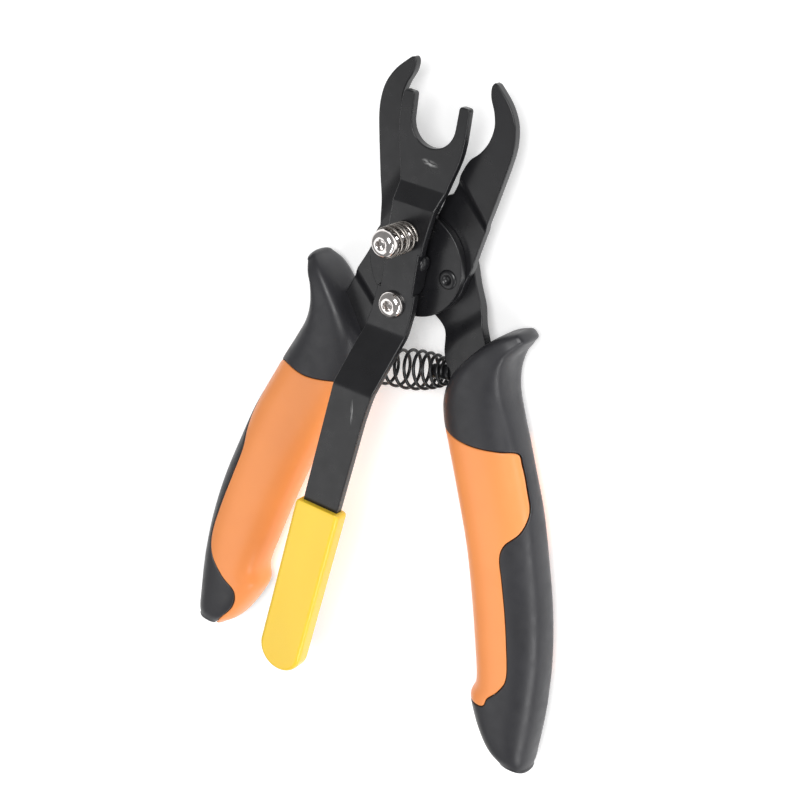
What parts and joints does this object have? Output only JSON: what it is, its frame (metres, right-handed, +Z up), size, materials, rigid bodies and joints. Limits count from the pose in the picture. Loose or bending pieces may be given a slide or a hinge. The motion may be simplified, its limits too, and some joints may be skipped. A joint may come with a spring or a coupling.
{
  "type": "spring-return release pliers",
  "caption": "Hand pliers with two hooked jaws, a sprung fork lever over the pivot, a return spring between the arms and soft two-colour grips.",
  "frame": {"origin": "centre of the tool's footprint, on the surface it lies on", "axes": "+Z up through the plates, +Y along the tool towards the jaws, +X to the right seen from above"},
  "size_m": [0.1526, 0.2432, 0.0397],
  "materials": {
    "black_steel": "satin",
    "black_wire": "gloss",
    "spring_steel": "satin",
    "bright_screw": "polished",
    "yellow_vinyl": "gloss",
    "orange_core": "matte",
    "black_cover": "matte"
  },
  "bodies": {
    "main_half": {"left_jaw_plate": "black_steel", "back_plate": "black_steel", "pivot_screw": "black_steel", "pivot_nut": "black_steel", "stop_rivet": "black_steel", "fulcrum_block": "black_steel", "spring_screw": "bright_screw", "stop_screw": "bright_screw", "lever_spring": "spring_steel", "return_spring": "black_wire", "right_spring_peg": "black_steel", "right_grip_core": "orange_core", "right_grip_cover": "black_cover"},
    "jaw_half": {"right_jaw_plate": "black_steel", "left_spring_peg": "black_steel", "left_grip_core": "orange_core", "left_grip_cover": "black_cover"},
    "lever": {"fork_lever": "black_steel", "lever_sleeve": "yellow_vinyl", "fulcrum_pin": "black_steel"}
  },
  "joints": [
    {"name": "jaw_pivot", "type": "hinge", "parent": "main_half", "child": "jaw_half", "pos_m": [0, 0.0545, 0.0118], "axis": [0, 0, 1], "range_deg": [0, 24], "stiffness_Nm_per_rad": 1.2, "springref_deg": -20.05, "deforming": ["return_spring"]},
    {"name": "lever_rock", "type": "hinge", "parent": "main_half", "child": "lever", "pos_m": [0, 0.0571, 0.0205], "axis": [1, 0, 0], "range_deg": [0, 3.4], "stiffness_Nm_per_rad": 0.8, "springref_deg": -14.32, "deforming": ["lever_spring"]}
  ]
}
